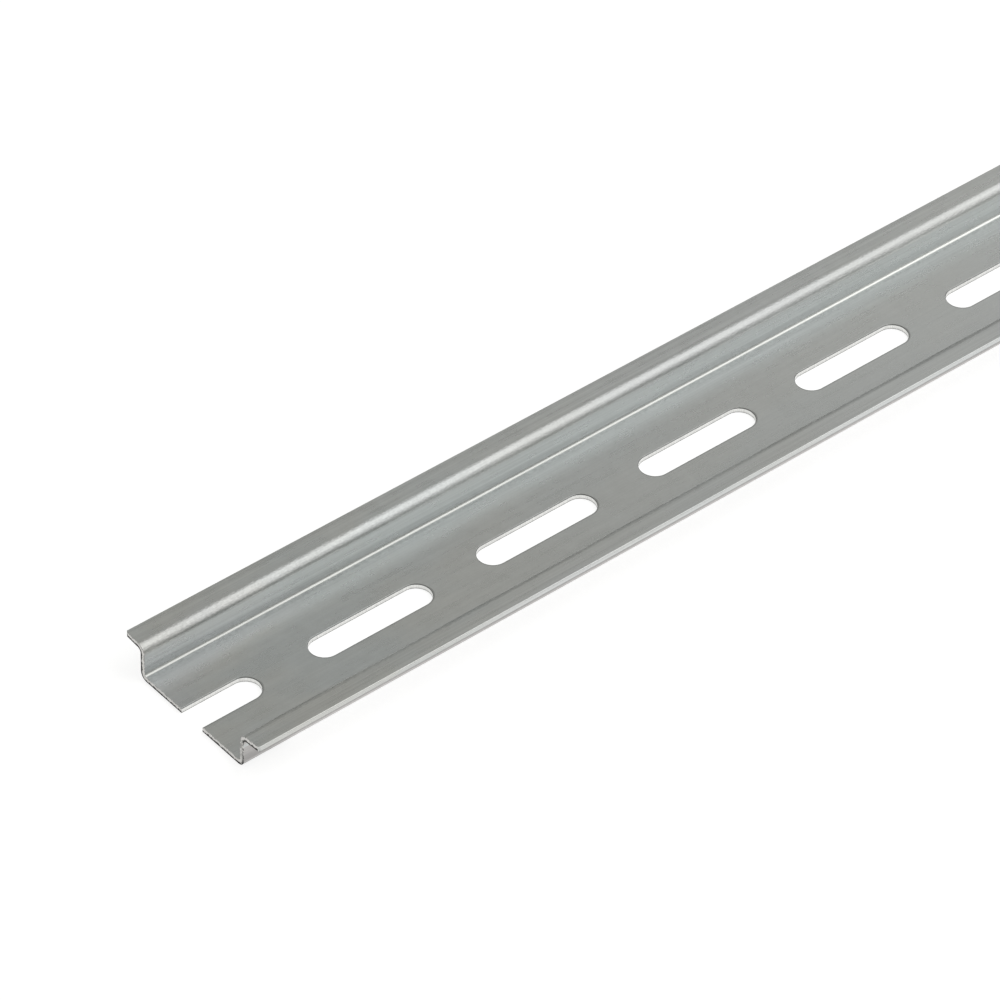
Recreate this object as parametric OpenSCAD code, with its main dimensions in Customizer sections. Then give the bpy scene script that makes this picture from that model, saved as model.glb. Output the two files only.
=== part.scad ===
// Slotted top-hat mounting rail, roll formed from one strip of zinc-plated steel.
// The rail runs along X and lies on the underside of its base, with the channel open upwards.
// The origin is at the middle of the rail's length and width, on the underside of the base.

/* [Rail] */
// Length of the rail
rail_length = 250; // [150:5:2000]
// Width over the edges of the two flanges
rail_width = 35; // [34:0.1:40]
// Height from the underside of the base to the top of the flange edges
rail_height = 7.5; // [6.5:0.1:15]
// Width over the outside of the two side walls
hat_width = 27; // [24:0.1:28]
// Thickness of the strip
strip_t = 1; // [0.8:0.05:1.3]

/* [Bends] */
// Inside radius of the bends between the base and the walls
base_bend_r = 0.5; // [0.4:0.1:1.2]
// Inside radius of the bends between the walls and the flanges
flange_bend_r = 0.8; // [0.4:0.1:1]
// Upward tilt of each flange towards its edge, in degrees
flange_tilt = 5; // [0:0.5:8]

/* [Slots] */
// Distance from one slot's centre to the next
slot_pitch = 36; // [30:1:60]
// Length of a slot from end to end
slot_length = 25; // [12:0.5:28]
// Width of a slot
slot_width = 5.5; // [4.2:0.1:8]
// Distance from the cut end to the centre of the slot that it cuts through
first_slot = 1.2; // [0:0.1:20]

/* [Edges] */
// Radius of the rounded long edges of the strip
strip_edge_r = 0.2; // [0.05:0.05:0.4]
// Radius that the punch leaves round the top of each slot
slot_edge_r = 0.2; // [0.05:0.05:0.4]
// Radius of the eased corners at the cut ends
end_corner_r = 0.6; // [0.2:0.1:1.5]

/* [Hidden] */

arc_fn = 96;
overcut = 1; // how far a cutting shape runs past the surface that it cuts

rail_start = -rail_length / 2;
rail_end = rail_length / 2;

// The section of one side, from the centre line outwards.
base_bend_outer = base_bend_r + strip_t;
flange_bend_outer = flange_bend_r + strip_t;
base_flat = hat_width / 2 - base_bend_outer;
flange_bend_y = hat_width / 2 + flange_bend_r;
// The flat of the flange ends where its rounded lower corner reaches the rail's width.
flange_flat = strip_edge_r
    + (rail_width / 2 - flange_bend_y - strip_edge_r + (flange_bend_r + strip_edge_r) * sin(flange_tilt))
    / cos(flange_tilt);
// The bend's centre is set so that the rounded upper corner of the flange reaches the rail's height.
flange_bend_z = rail_height - strip_edge_r
    - (flange_bend_outer - strip_edge_r) * cos(flange_tilt)
    - (flange_flat - strip_edge_r) * sin(flange_tilt);
wall_flat = flange_bend_z - base_bend_outer;

// Every slot whose near end lies on the rail is cut, so the ends cut through slots as they fall.
first_slot_x = rail_start + first_slot;
last_slot = floor((rail_length - first_slot + slot_length / 2) / slot_pitch);
slot_run = slot_length - slot_width;

// The bend from the base into the wall, about its own centre.
module base_bend() {
    intersection() {
        difference() {
            circle(r = base_bend_outer, $fn = arc_fn);
            circle(r = base_bend_r, $fn = arc_fn);
        }
        translate([0, -base_bend_outer])
            square(base_bend_outer);
    }
}

// The rounded edge of the strip, which ends at the origin, with its underside on Y = 0.
module strip_edge() {
    translate([-2 * strip_edge_r, strip_edge_r])
        square([2 * strip_edge_r, strip_t - 2 * strip_edge_r]);
    for (y = [strip_edge_r, strip_t - strip_edge_r])
        translate([-strip_edge_r, y])
            circle(r = strip_edge_r, $fn = arc_fn);
}

// The flange and the bend that it grows out of, about the centre of the bend: a filled shape with
// the strip's upper surface, less all that lies under the strip.
module flange() {
    under = flange_bend_outer + overcut;
    difference() {
        union() {
            circle(r = flange_bend_outer, $fn = arc_fn);
            rotate(flange_tilt)
                square([flange_flat - strip_edge_r, flange_bend_outer]);
        }
        circle(r = flange_bend_r, $fn = arc_fn);
        rotate(flange_tilt)
            translate([0, -under])
                square([flange_flat + under, under + flange_bend_r]);
        translate([-flange_bend_r, -under])
            square([flange_bend_r + under, under]);
    }
    rotate(flange_tilt)
        translate([flange_flat, flange_bend_r])
            strip_edge();
}

// Half of the section, with the rail's Y drawn along X and its Z along Y.
module half_section() {
    square([base_flat, strip_t]);
    translate([base_flat, base_bend_outer])
        base_bend();
    translate([hat_width / 2 - strip_t, base_bend_outer])
        square([strip_t, wall_flat]);
    translate([flange_bend_y, flange_bend_z])
        flange();
}

module section() {
    half_section();
    mirror([1, 0])
        half_section();
}

module formed_strip() {
    translate([rail_start, 0, 0])
        rotate([90, 0, 90])
            linear_extrude(rail_length)
                section();
}

// Half of the punch's section: a straight side that flares out at the top of the base.
module punch_half() {
    translate([0, -overcut])
        square([slot_width / 2, strip_t + 2 * overcut]);
    difference() {
        translate([0, strip_t - slot_edge_r])
            square([slot_width / 2 + slot_edge_r, slot_edge_r + overcut]);
        translate([slot_width / 2 + slot_edge_r, strip_t - slot_edge_r])
            circle(r = slot_edge_r, $fn = arc_fn);
    }
}

// The punch for one slot, centred on the slot.
module slot_punch() {
    for (x = [-slot_run / 2, slot_run / 2])
        translate([x, 0, 0])
            rotate_extrude($fn = arc_fn)
                punch_half();
    translate([-slot_run / 2, 0, 0])
        rotate([90, 0, 90])
            linear_extrude(slot_run) {
                punch_half();
                mirror([1, 0])
                    punch_half();
            }
}

// What rounds off one upright corner at the origin, of material that lies towards +X and +Y.
module corner_cut() {
    translate([0, 0, -overcut])
        linear_extrude(rail_height + 2 * overcut)
            difference() {
                translate([-overcut, -overcut])
                    square(end_corner_r + overcut);
                translate([end_corner_r, end_corner_r])
                    circle(r = end_corner_r, $fn = arc_fn);
            }
}

module flange_corners() {
    for (along = [0, 1], across = [0, 1])
        mirror([along, 0, 0])
            mirror([0, across, 0])
                translate([rail_start, -rail_width / 2, 0])
                    corner_cut();
}

module rail() {
    color([0.72, 0.73, 0.72])
        difference() {
            formed_strip();
            for (i = [0:last_slot])
                translate([first_slot_x + i * slot_pitch, 0, 0])
                    slot_punch();
            flange_corners();
        }
}

rail();
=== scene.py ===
"""Looks for the slotted top-hat rail: its zinc-plated finish with painted light and shade, and a
plain pale studio set.
"""

import math

import bpy
from mathutils import Matrix, Vector


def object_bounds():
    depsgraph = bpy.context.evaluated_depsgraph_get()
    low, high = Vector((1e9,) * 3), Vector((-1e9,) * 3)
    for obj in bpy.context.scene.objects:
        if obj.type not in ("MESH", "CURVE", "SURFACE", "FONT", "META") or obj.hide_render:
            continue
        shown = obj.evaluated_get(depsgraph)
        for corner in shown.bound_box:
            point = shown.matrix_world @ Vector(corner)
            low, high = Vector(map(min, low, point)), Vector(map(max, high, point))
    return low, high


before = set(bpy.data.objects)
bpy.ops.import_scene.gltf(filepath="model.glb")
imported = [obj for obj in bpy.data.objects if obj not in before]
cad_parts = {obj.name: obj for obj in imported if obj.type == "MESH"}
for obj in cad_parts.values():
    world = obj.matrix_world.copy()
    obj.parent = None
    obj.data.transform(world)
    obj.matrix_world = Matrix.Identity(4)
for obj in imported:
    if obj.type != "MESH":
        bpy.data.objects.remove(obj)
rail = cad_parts["rail"]
cad_box = [list(corner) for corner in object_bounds()]

MM = 1000.0  # millimetres in a metre


# ---------------------------------------------------------------- node helpers


class Nodes:
    """Builds the node tree of a material or world with short calls."""

    def __init__(self, owner):
        owner.use_nodes = True
        self.tree = owner.node_tree
        self.tree.nodes.clear()

    def add(self, kind, **settings):
        node = self.tree.nodes.new(kind)
        for key, value in settings.items():
            setattr(node, key, value)
        return node

    def put(self, socket, value):
        if isinstance(value, bpy.types.NodeSocket):
            self.tree.links.new(value, socket)
        else:
            socket.default_value = value

    # Arithmetic.

    def math(self, operation, a, b=0.0, clamp=False):
        node = self.add("ShaderNodeMath", operation=operation, use_clamp=clamp)
        self.put(node.inputs[0], a)
        self.put(node.inputs[1], b)
        return node.outputs[0]

    def chain(self, operation, first, others):
        for other in others:
            first = self.math(operation, first, other)
        return first

    def product(self, first, *others):
        return self.chain("MULTIPLY", first, others)

    def total(self, first, *others):
        return self.chain("ADD", first, others)

    def largest(self, first, *others):
        return self.chain("MAXIMUM", first, others)

    def minus(self, a, b):
        return self.math("SUBTRACT", a, b)

    def absolute(self, value):
        return self.math("ABSOLUTE", value)

    def length(self, a, b):
        return self.math("SQRT", self.total(self.product(a, a), self.product(b, b)))

    # Zones, from 0 to 1.

    def over(self, value, limit):
        return self.math("GREATER_THAN", value, limit)

    def under(self, value, limit):
        return self.math("LESS_THAN", value, limit)

    def outside_of(self, zone):
        return self.minus(1.0, zone)

    def ramp(self, value, low, high, to_low=0.0, to_high=1.0, smooth=True):
        """value from low..high to to_low..to_high, held at both ends."""
        node = self.add("ShaderNodeMapRange", clamp=True)
        node.interpolation_type = "SMOOTHSTEP" if smooth else "LINEAR"
        self.put(node.inputs["Value"], value)
        self.put(node.inputs["From Min"], low)
        self.put(node.inputs["From Max"], high)
        self.put(node.inputs["To Min"], to_low)
        self.put(node.inputs["To Max"], to_high)
        return node.outputs["Result"]

    def shade(self, tone, zone, level, smooth=False):
        """tone, times level where the zone is 1."""
        return self.product(tone, self.ramp(zone, 0.0, 1.0, 1.0, level, smooth))

    # Noise.

    def noise(self, point, grain, stretch=(1, 1, 1), detail=2.0, rough=0.5, offset=(0, 0, 0)):
        """Noise from about 0.3 to 0.7, with grain features to the millimetre."""
        mapping = self.add("ShaderNodeMapping")
        self.put(mapping.inputs["Vector"], point)
        mapping.inputs["Scale"].default_value = stretch
        mapping.inputs["Location"].default_value = offset
        node = self.add("ShaderNodeTexNoise")
        node.noise_dimensions = "3D"
        self.put(node.inputs["Vector"], mapping.outputs["Vector"])
        node.inputs["Scale"].default_value = grain
        node.inputs["Detail"].default_value = detail
        node.inputs["Roughness"].default_value = rough
        return node.outputs["Fac"]

    def swing(self, noise, amount):
        """Noise turned into a change of up to amount either way."""
        return self.ramp(noise, 0.3, 0.7, -amount, amount, smooth=False)

    # Colours, vectors and relief.

    def mix(self, factor, a, b):
        node = self.add("ShaderNodeMix", data_type="RGBA")
        self.put(node.inputs["Factor"], factor)
        self.put(node.inputs[6], a)
        self.put(node.inputs[7], b)
        return node.outputs[2]

    def choose(self, factor, a, b):
        node = self.add("ShaderNodeMix", data_type="FLOAT")
        self.put(node.inputs["Factor"], factor)
        self.put(node.inputs[2], a)
        self.put(node.inputs[3], b)
        return node.outputs[0]

    def scale(self, vector, amount):
        node = self.add("ShaderNodeVectorMath", operation="SCALE")
        self.put(node.inputs[0], vector)
        self.put(node.inputs["Scale"], amount)
        return node.outputs[0]

    def split(self, vector):
        node = self.add("ShaderNodeSeparateXYZ")
        self.put(node.inputs[0], vector)
        return node.outputs

    def bump(self, height, strength, millimetres, normal=None):
        node = self.add("ShaderNodeBump")
        node.inputs["Strength"].default_value = strength
        node.inputs["Distance"].default_value = millimetres / MM
        self.put(node.inputs["Height"], height)
        if normal is not None:
            self.put(node.inputs["Normal"], normal)
        return node.outputs["Normal"]


# ---------------------------------------------------------------- the rail's section

# In millimetres: its reach and height from the solid's box, the rest as the strip is formed.
HALF_LENGTH = cad_box[1][0] * MM
HALF_WIDTH = cad_box[1][1] * MM
HEIGHT = cad_box[1][2] * MM
STRIP = 1.0
HALF_HAT = 13.5
BASE_BEND_R = 0.5
FLANGE_BEND_R = 0.8
FLANGE_TILT = math.radians(5)
HALF_SLOT = 2.75
HALF_SLOT_RUN = 9.75
SLOT_PITCH = 36.0
FIRST_SLOT = 1.2
SLOT_EDGE_R = 0.2

# The centres of the bends, the inner face of each wall, and a height between the bends.
BASE_BEND_Y = HALF_HAT - STRIP - BASE_BEND_R
BASE_BEND_Z = STRIP + BASE_BEND_R
FLANGE_BEND_Y = HALF_HAT + FLANGE_BEND_R
FLANGE_BEND_Z = HEIGHT - (FLANGE_BEND_R + STRIP) - (HALF_WIDTH - FLANGE_BEND_Y) * FLANGE_TILT
WALL_FACE = HALF_HAT - STRIP
MID_WALL = 0.6 * HEIGHT

# A point this near to a face of the base, a cut end or the strip's outer face lies on it.
BASE_SKIN = 0.003
END_SKIN = 0.02
OUTER_SKIN = 0.02


def strip_depth(n, across, z):
    """How far a point of the section lies from the strip's outer, lower face, 0 to 1 mm."""
    past = n.largest(n.minus(across, BASE_BEND_Y), 0.0)
    below = n.largest(n.minus(BASE_BEND_Z, z), 0.0)
    low = n.minus(BASE_BEND_R + STRIP, n.length(past, below))
    out = n.minus(across, FLANGE_BEND_Y)
    up = n.minus(z, FLANGE_BEND_Z)
    cos, sin = math.cos(FLANGE_TILT), math.sin(FLANGE_TILT)
    inward = n.total(n.product(out, -cos), n.product(up, -sin))
    above = n.total(n.product(up, cos), n.product(out, -sin))
    high = n.minus(n.length(n.largest(inward, 0.0), n.largest(above, 0.0)), FLANGE_BEND_R)
    return n.choose(n.over(z, MID_WALL), low, high)


def past_slot(n, x, y):
    """How far a point of the base lies from the straight wall of the nearest slot."""
    place = n.math("PINGPONG", n.total(x, HALF_LENGTH - FIRST_SLOT), SLOT_PITCH / 2)
    run_out = n.largest(n.minus(place, HALF_SLOT_RUN), 0.0)
    return n.minus(n.length(run_out, y), HALF_SLOT)


# ---------------------------------------------------------------- the rail's finish

# The plating's greys, the outer faces' grey of painted shade, and the lighter grey of the painted
# highlight line in the base bends.
WARM = (0.585, 0.588, 0.566, 1)
COOL = (0.570, 0.593, 0.592, 1)
VIOLET = (0.582, 0.590, 0.602, 1)
NEUTRAL = (0.578, 0.590, 0.584, 1)
OUTER_SHADED = (0.585, 0.570, 0.560, 1)
BEND_HIGHLIGHT_GREY = (0.582, 0.590, 0.572, 1)

# The cut faces: bright where sheared, dark where broken, with thin lines along their edges; on
# the ends the broken part is near-black painted shadow and the top line painted shade.
END_SHEARED = (0.68, 0.67, 0.65)
END_BROKEN_AND_SHADOW = (0.025, 0.024, 0.022, 1)
END_TOP_SHADE_LINE = (0.24, 0.24, 0.23, 1)
SLOT_SHEARED = (0.86, 0.86, 0.84, 1)
SLOT_BROKEN = (0.76, 0.76, 0.745, 1)
SLOT_LOWER_LINE = (0.20, 0.20, 0.19, 1)

# Heights of the marks and of the painted light and shade: each fades in from its first height to
# its second.
WALL_FOOT_SHADE = (3.6, 2.2)
CREASE_LIGHT_LOWER = (5.6, 5.9)
CREASE_LIGHT_UPPER = (6.6, 6.3)
STRETCHED = (HEIGHT - 2.2, HEIGHT - 1.6)
OUTER_FOOT_SHADOW = (1.1, 0.7)
COOL_REFLECTION_TOP = 0.75 * HEIGHT  # the painted cool reflection in the channel ends here

# The same along the rail, for the painted shade that darkens the outer faces beside each cut end.
SHADE_BY_END = (HALF_LENGTH - 12.0, HALF_LENGTH - 6.0)

# The same above the strip's lower face, for the zones of the cut faces.
END_BREAK_AND_SHADOW = (0.46, 0.32)
END_TOP_SHADE = (0.86, 0.98)
SLOT_BREAK = (0.40, 0.30)
SLOT_FOOT = (0.16, 0.06)
RIM_SHADE_WIDTH = 0.22  # width of the painted shade line past a slot's rounded rim

# How light each zone is against plain plating.
OUTER_SHADE_TONE = 0.98
OUTER_SHADE_BY_END = 0.82
WALL_FOOT_SHADE_TONE = 0.79
STRETCHED_SHADE_TONE = 0.97
CREASE_LIGHT_TONE = 1.17
EDGE_FACE_LIGHT_TONE = 1.12
SHADE_LINE_TONE = 0.5
SLOT_RIM_SHADE_TONE = 0.45

# How far each noise swings the tone or the roughness.
ROLLED_SWING, FINE_SWING, MOTTLE_SWING, GRAIN_SWING = 0.08, 0.055, 0.03, 0.02
BRUSHED_SWING, STRETCHED_SWING, SHEAR_SWING = 0.10, 0.08, 0.12
ROLLED_ROUGHNESS, MOTTLE_ROUGHNESS = 0.02, 0.03
END_RAGGED, SLOT_RAGGED = 0.22, 0.12  # how far each break wanders, in millimetres

METALLIC = 0.86
ROUGHNESS = 0.29
CUT_ROUGHNESS = 0.16        # added on the cut faces
STRETCHED_ROUGHNESS = 0.05  # added where the bends stretched the plating


class Surface:
    """What the finish depends on: places in millimetres, zones from 0 to 1, and noises."""

    def __init__(self, n):
        self.point = n.scale(n.add("ShaderNodeTexCoord").outputs["Object"], MM)
        self.x, self.y, self.z = n.split(self.point)
        nx, _, nz = n.split(n.add("ShaderNodeNewGeometry").outputs["Normal"])
        self.along, self.across = n.absolute(self.x), n.absolute(self.y)
        self.from_end = n.total(self.x, HALF_LENGTH)
        self.depth = strip_depth(n, self.across, self.z)
        self.add_cuts(n, facing_along=n.absolute(nx), upright=n.minus(1.0, n.absolute(nz)))
        self.add_formed_and_painted_zones(n)
        self.add_noises(n)

    def add_cuts(self, n, facing_along, upright):
        """Where the strip was cut: sheared at the ends, punched at the slots."""
        at_end = n.over(self.along, HALF_LENGTH - END_SKIN)
        by_slot = n.product(n.under(self.across, HALF_SLOT + 0.3),
                            n.under(self.z, STRIP - BASE_SKIN),
                            n.over(self.z, BASE_SKIN), n.outside_of(at_end))
        self.end_cut = n.product(at_end, n.ramp(facing_along, 0.85, 0.95))
        self.slot_cut = n.product(by_slot, n.ramp(upright, 0.80, 0.95))
        # The rounded rims of the slots, which get painted shade.
        self.slot_rim_shade = n.product(by_slot, n.ramp(upright, 0.04, 0.12),
                                  n.ramp(upright, 0.95, 0.80))
        self.cut = n.largest(self.end_cut, self.slot_cut)
        self.whole = n.outside_of(self.cut)

    def add_formed_and_painted_zones(self, n):
        """What the rollers did to the strip, and the zones of painted light and shade."""
        inner = n.over(self.depth, STRIP / 2)
        # The outer and lower faces of the walls and flanges, which get painted shade, and what
        # lies near a cut end, where that shade is darker.
        self.outer = n.product(n.under(self.depth, OUTER_SKIN), n.over(self.z, 0.01))
        self.shade_by_end = n.ramp(self.along, *SHADE_BY_END)
        # The base towards the walls, and the walls: a band that widens along the rail.
        band = n.ramp(self.from_end, 35.0, 105.0, BASE_BEND_Y - 3.5, BASE_BEND_Y - 6.0)
        self.wall_band = n.ramp(self.across, band, BASE_BEND_Y)
        # The inside of the bend between base and wall, which carries a painted highlight line.
        self.bend_highlight = n.product(n.ramp(self.across, BASE_BEND_Y, BASE_BEND_Y + 0.1),
                                   n.ramp(self.z, BASE_BEND_Z, BASE_BEND_Z - 0.1), inner)
        # The outside of the bend into the flange, whose stretched plating is matt and grainy.
        self.stretched = n.product(n.ramp(n.minus(self.across, FLANGE_BEND_Y), 0.1, -0.3),
                                   n.ramp(self.z, *STRETCHED), inner)
        # Painted shade at the foot of the wall, and a painted light line along its top, below the
        # bend.
        self.wall_foot_shade = n.product(n.ramp(self.z, *WALL_FOOT_SHADE),
                                   n.over(self.across, WALL_FACE - 0.1),
                                   n.over(self.z, BASE_BEND_Z - 0.1))
        self.crease_light = n.product(n.ramp(self.z, *CREASE_LIGHT_LOWER),
                                     n.ramp(self.z, *CREASE_LIGHT_UPPER), inner,
                                     n.over(self.across, WALL_FACE - 0.2))

    def add_noises(self, n):
        """Rolling marks along the rail, the plating's mottle and grain, and the torn cuts."""
        point = self.point
        self.rolled = n.noise(point, 1.1, (0.010, 1.0, 1.0), detail=3, rough=0.6)
        self.fine = n.noise(point, 3.6, (0.010, 1.0, 1.0), offset=(5, 2, 9))
        self.mottle = n.noise(point, 0.5, (0.45, 1.0, 1.0), detail=3, rough=0.6, offset=(1, 8, 2))
        self.grain = n.noise(point, 3.2, (0.7, 1.0, 1.0), rough=0.6)
        self.speckle = n.noise(point, 2.2, (0.8, 1.0, 1.0), detail=1, offset=(6, 6, 2))
        self.wave = n.noise(point, 0.16, (1.0, 0.4, 0.4), offset=(8, 3, 5))
        self.torn = n.noise(point, 2.6, detail=3, rough=0.6, offset=(9, 3, 1))
        self.shear = n.noise(point, 6.0, (1.0, 1.0, 0.15), rough=0.6, offset=(4, 4, 4))


def plating_colour(n, s):
    """A warm grey with cool patches of passivation, drawn out along the rail."""
    patches = n.noise(s.point, 0.055, (0.45, 1.0, 1.3), detail=3, rough=0.55)
    clouds = n.noise(s.point, 0.045, (0.35, 1.2, 1.0), offset=(3, 1, 7))
    colour = n.mix(n.ramp(patches, 0.42, 0.62), WARM, COOL)
    colour = n.mix(n.ramp(clouds, 0.50, 0.66, 0.0, 0.8), colour, VIOLET)
    colour = n.mix(n.ramp(s.from_end, 15.0, 95.0, 0.0, 0.75), colour, NEUTRAL)
    # Painted reflection: a cool tint on the walls and the base near them, for the cool light they
    # reflect.
    painted_cool_reflection = n.product(s.wall_band, n.under(s.z, COOL_REFLECTION_TOP), n.outside_of(s.outer))
    colour = n.mix(n.product(painted_cool_reflection, 0.7), colour, COOL)
    # Painted shade: the outer faces are a darker, pinker grey.
    colour = n.mix(s.outer, colour, OUTER_SHADED)
    # Painted highlight: the line in the base bends is a lighter grey.
    return n.mix(s.bend_highlight, colour, BEND_HIGHLIGHT_GREY)


def tone_with_painted_light(n, s):
    """How light the plating is: its marks and mottle, what each bend did to it, and painted light
    and shade.
    """
    marks = n.product(n.total(n.swing(s.rolled, ROLLED_SWING), n.swing(s.fine, FINE_SWING)),
                      n.ramp(s.wall_band, 0.0, 1.0, 0.35, 1.0))
    tone = n.total(1.0, marks, n.swing(s.mottle, MOTTLE_SWING), n.swing(s.grain, GRAIN_SWING))
    # Painted shade on the outer faces, darker beside each cut end.
    outer_shade = n.choose(s.shade_by_end, OUTER_SHADE_TONE, OUTER_SHADE_BY_END)
    tone = n.product(tone, n.choose(s.outer, 1.0, outer_shade))
    # Painted shade at the foot of the walls.
    tone = n.shade(tone, s.wall_foot_shade, WALL_FOOT_SHADE_TONE)

    # The painted highlight line gets lighter along the rail, and so does the painted light on the
    # base beside it.
    bend_highlight_tone = n.total(n.ramp(s.from_end, 10.0, 85.0, 1.03, 1.13),
                      n.ramp(s.from_end, 130.0, 165.0, 0.0, 0.2))
    tone = n.shade(tone, s.bend_highlight, bend_highlight_tone)
    base_top = n.under(s.z, STRIP + BASE_SKIN)
    brushed = n.product(n.ramp(s.across, BASE_BEND_Y - 1.6, BASE_BEND_Y - 0.3), base_top)
    tone = n.total(tone, n.product(brushed, n.swing(s.speckle, BRUSHED_SWING)))
    # Painted light on the base beside the wall, growing along the rail.
    wall_light = n.product(n.ramp(s.across, BASE_BEND_Y - 3.0, BASE_BEND_Y), base_top)
    tone = n.total(tone, n.product(wall_light, n.ramp(s.from_end, 45.0, 115.0, 0.0, 0.13)))

    # The stretched bend is speckled, most of all near the visible end.
    # The outside of the flange bend is a little darker: partly its matt stretched plating, partly
    # painted shade.
    tone = n.shade(tone, s.stretched, STRETCHED_SHADE_TONE)
    speckled = n.product(n.swing(s.speckle, STRETCHED_SWING),
                         n.ramp(s.from_end, 45.0, 105.0, 1.0, 0.4))
    tone = n.total(tone, n.product(s.stretched, speckled))
    # Painted light: a lighter line along each wall below the flange bend, lighter further along
    # the rail.
    crease_light_tone = n.total(CREASE_LIGHT_TONE, n.ramp(s.from_end, 110.0, 165.0, 0.0, 0.26))
    return n.shade(tone, s.crease_light, crease_light_tone)


def with_painted_lines(n, s, tone):
    """tone, with painted light on the edge faces of the strip and thin lines of painted shade
    along its edges.
    """
    edge_face_light = n.ramp(s.across, HALF_WIDTH - 0.15, HALF_WIDTH - 0.05)
    flange_edge_shade = n.product(n.ramp(s.across, HALF_WIDTH - 0.35, HALF_WIDTH - 0.15),
                            n.ramp(s.depth, 0.30, 0.15))
    outer_foot_shadow = n.product(s.outer, n.ramp(s.z, *OUTER_FOOT_SHADOW), n.over(s.across, BASE_BEND_Y),
                           s.shade_by_end)
    near_rim_shade = n.product(n.ramp(past_slot(n, s.x, s.y), SLOT_EDGE_R + RIM_SHADE_WIDTH, SLOT_EDGE_R),
                         n.ramp(s.y, 0.6, -0.6), n.over(s.z, STRIP - BASE_SKIN), 0.7)
    # Painted light on the flange tips' edge faces.
    tone = n.shade(tone, edge_face_light, EDGE_FACE_LIGHT_TONE)
    # Painted shade: dark lines under the flange tips, along the foot of the outer walls near the
    # cut ends, and past the near rims of the slots.
    tone = n.shade(tone, n.largest(flange_edge_shade, outer_foot_shadow, near_rim_shade), SHADE_LINE_TONE)
    # Painted shade on the rounded rims of the slots.
    return n.shade(tone, s.slot_rim_shade, SLOT_RIM_SHADE_TONE, smooth=True)


def end_face_colour(n, s):
    """Bright where the blade sheared the strip, dark and ragged where it broke away below,
    near-black there as painted shadow, with a painted shade line along the top; darker on the
    near wall.
    """
    ragged = n.total(s.depth, n.swing(s.torn, END_RAGGED))
    near_wall = n.product(n.ramp(s.y, -12.0, -12.5), n.ramp(s.z, 1.2, 1.8),
                          n.ramp(s.z, 6.0, 5.4))
    patchy = n.choose(near_wall, 1.0, n.ramp(s.torn, 0.40, 0.56))
    # Painted shadow: the broken band is near-black.
    broken_and_shadow = n.product(n.ramp(ragged, *END_BREAK_AND_SHADOW), patchy)
    dulled = n.product(near_wall, n.ramp(s.torn, 0.35, 0.6, 0.0, -0.5))
    colour = n.mix(broken_and_shadow, n.scale(END_SHEARED, n.total(1.0, dulled)), END_BROKEN_AND_SHADOW)
    return n.mix(n.ramp(ragged, *END_TOP_SHADE), colour, END_TOP_SHADE_LINE)


def slot_face_colour(n, s):
    """The punched walls of the slots: bright above, duller below, with a dark lower edge."""
    ragged = n.total(s.z, n.swing(s.torn, SLOT_RAGGED))
    colour = n.mix(n.ramp(ragged, *SLOT_BREAK), SLOT_SHEARED, SLOT_BROKEN)
    return n.mix(n.ramp(s.z, *SLOT_FOOT), colour, SLOT_LOWER_LINE)


def rail_colour(n, s):
    tone = with_painted_lines(n, s, tone_with_painted_light(n, s))
    cut_tone = n.total(1.0, n.swing(s.shear, SHEAR_SWING))
    colour = n.scale(plating_colour(n, s), tone)
    colour = n.mix(s.slot_cut, colour, n.scale(slot_face_colour(n, s), cut_tone))
    return n.mix(s.end_cut, colour, n.scale(end_face_colour(n, s), cut_tone))


def rail_roughness(n, s):
    return n.total(ROUGHNESS, n.swing(s.rolled, ROLLED_ROUGHNESS),
                   n.swing(s.mottle, MOTTLE_ROUGHNESS), n.product(s.cut, CUT_ROUGHNESS),
                   n.product(s.stretched, STRETCHED_ROUGHNESS))


def rail_relief(n, s):
    """A slow wave, the rolling marks and the grain in the plating, and the shear on the cuts."""
    marks = n.total(s.rolled, n.product(s.fine, 0.4))
    grain = n.product(s.grain, s.whole, n.ramp(s.stretched, 0.0, 1.0, 0.25, 1.0))
    relief = n.bump(n.product(s.wave, s.whole), strength=0.5, millimetres=0.12)
    relief = n.bump(n.product(marks, s.whole), strength=0.4, millimetres=0.02, normal=relief)
    relief = n.bump(grain, strength=0.8, millimetres=0.05, normal=relief)
    return n.bump(n.product(s.shear, s.cut), strength=0.6, millimetres=0.04, normal=relief)


def zinc_plated_steel():
    material = bpy.data.materials.new("zinc_plated_steel")
    n = Nodes(material)
    surface = Surface(n)
    shader = n.add("ShaderNodeBsdfPrincipled")
    shader.inputs["Metallic"].default_value = METALLIC
    n.put(shader.inputs["Base Color"], rail_colour(n, surface))
    n.put(shader.inputs["Roughness"], rail_roughness(n, surface))
    n.put(shader.inputs["Normal"], rail_relief(n, surface))
    output = n.add("ShaderNodeOutputMaterial")
    n.put(output.inputs["Surface"], shader.outputs[0])
    return material


finish = zinc_plated_steel()
for slot in rail.material_slots:
    slot.material = finish


# ---------------------------------------------------------------- floor

FLOOR_SIZE = 60
FLOOR_DROP = 0.00002  # keeps the floor off the rail's underside
FLOOR_GREY = (0.45, 0.45, 0.45, 1)
FLOOR_GLOW = 0.79


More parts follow.
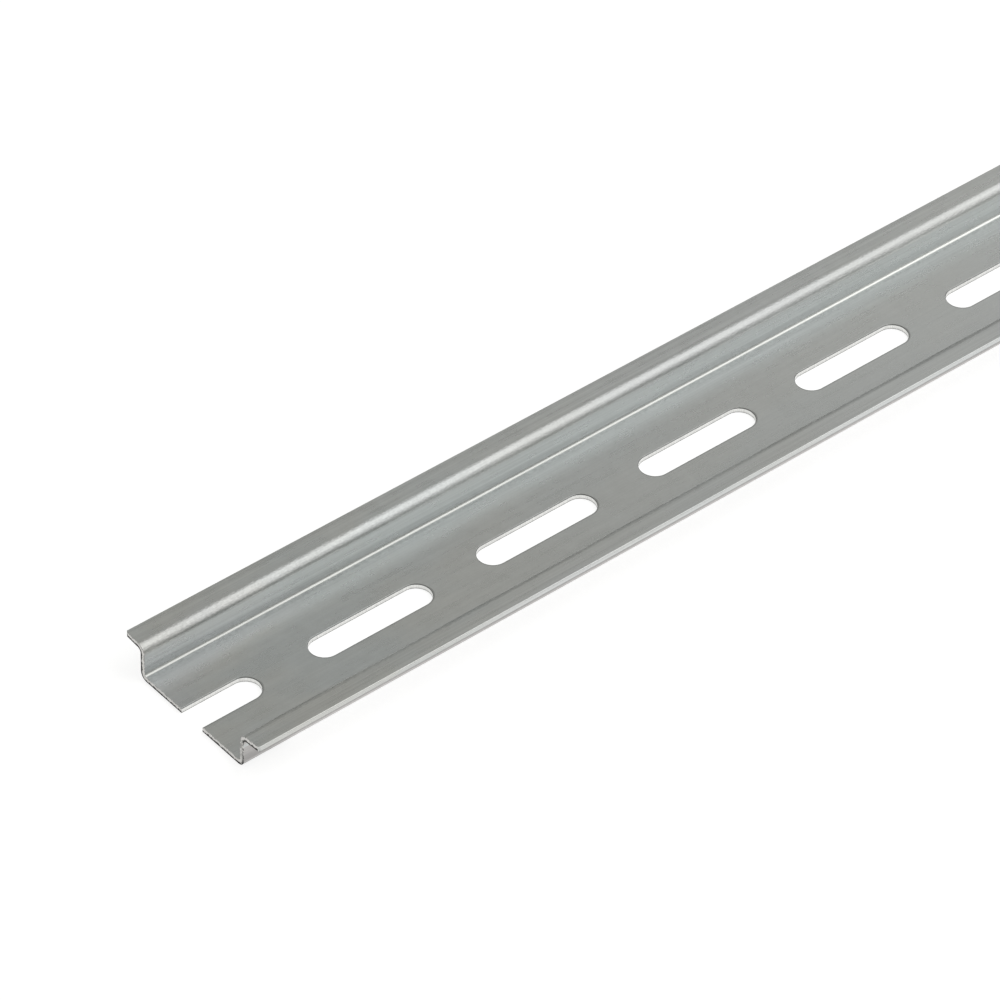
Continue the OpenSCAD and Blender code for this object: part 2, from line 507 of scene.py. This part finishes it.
def pale_floor():
    """A grey floor that takes shadows, and glows to white for the camera and in reflections."""
    bpy.ops.mesh.primitive_plane_add(size=FLOOR_SIZE, location=(0, 0, -FLOOR_DROP))
    floor = bpy.context.object
    floor.name = "floor"
    material = bpy.data.materials.new("pale_floor")
    n = Nodes(material)
    path = n.add("ShaderNodeLightPath")
    seen = n.math("ADD", path.outputs["Is Camera Ray"], path.outputs["Is Glossy Ray"], clamp=True)
    seen = n.math("ADD", seen, path.outputs["Is Transmission Ray"], clamp=True)
    diffuse = n.add("ShaderNodeBsdfDiffuse")
    diffuse.inputs["Color"].default_value = FLOOR_GREY
    glow = n.add("ShaderNodeEmission")
    n.put(glow.inputs["Strength"], n.product(seen, FLOOR_GLOW))
    both = n.add("ShaderNodeAddShader")
    n.put(both.inputs[0], diffuse.outputs[0])
    n.put(both.inputs[1], glow.outputs[0])
    output = n.add("ShaderNodeOutputMaterial")
    n.put(output.inputs["Surface"], both.outputs[0])
    floor.data.materials.append(material)


pale_floor()


# ---------------------------------------------------------------- light

SKY_COLOUR = (0.424, 0.426, 0.409, 1)
HORIZON_STRENGTH = 0.62


def softbox(name, centre, size, radiance, target=None):
    """A lamp that looks as bright as radiance, where 1 is white, and faces a target or down."""
    light = bpy.data.lights.new(name, "AREA")
    light.shape = "RECTANGLE"
    light.size, light.size_y = size
    light.energy = radiance * math.pi * size[0] * size[1]
    lamp = bpy.data.objects.new(name, light)
    bpy.context.scene.collection.objects.link(lamp)
    lamp.location = centre
    if target is not None:
        facing = (Vector(target) - Vector(centre)).to_track_quat("-Z", "Y")
        lamp.rotation_euler = facing.to_euler()


def studio_world():
    """Even light from above that falls off towards the horizon."""
    world = bpy.data.worlds.new("studio")
    bpy.context.scene.world = world
    n = Nodes(world)
    rise = n.split(n.add("ShaderNodeTexCoord").outputs["Generated"])[2]
    background = n.add("ShaderNodeBackground")
    background.inputs["Color"].default_value = SKY_COLOUR
    n.put(background.inputs["Strength"], n.ramp(rise, 0.05, 0.50, HORIZON_STRENGTH, 1.0))
    output = n.add("ShaderNodeOutputWorld")
    n.put(output.inputs["Surface"], background.outputs[0])


softbox("overhead", centre=(0.85, -0.57, 1.0), size=(1.4, 1.5), radiance=1.12)
softbox("front_fill", centre=(0.85, -1.20, 0.62), size=(1.4, 0.56), radiance=0.62,
        target=(0.0, 0.0, 0.0))
softbox("back_right", centre=(1.30, 0.95, 1.0), size=(1.0, 0.9), radiance=0.26)
studio_world()


# ---------------------------------------------------------------- camera

SENSOR_WIDTH = 36  # millimetres


def look_from(target, azimuth, elevation, roll, distance, lens):
    """A camera at an azimuth from -Y towards +X and an elevation, rolled about its own axis.

    The angles are in degrees, the distance in metres and the lens in millimetres.
    """
    az, el = math.radians(azimuth), math.radians(elevation)
    back = Vector((math.sin(az) * math.cos(el), -math.cos(az) * math.cos(el), math.sin(el)))
    right = Vector((0, 0, 1)).cross(back).normalized()
    up = back.cross(right)
    place = Matrix.Translation(Vector(target) + back * distance)
    facing = Matrix((right, up, back)).transposed().to_4x4()
    data = bpy.data.cameras.new("camera")
    data.sensor_width = SENSOR_WIDTH
    data.lens = lens
    data.clip_start, data.clip_end = 0.05, 100
    camera = bpy.data.objects.new("camera", data)
    bpy.context.scene.collection.objects.link(camera)
    camera.matrix_world = place @ facing @ Matrix.Rotation(math.radians(roll), 4, "Z")
    bpy.context.scene.camera = camera


look_from(target=(-0.05193, 0.00948, 0.001), azimuth=-41.5855, elevation=41.6903, roll=2.1263,
          distance=0.97053, lens=207.268)

bpy.context.scene.view_settings.view_transform = "Standard"
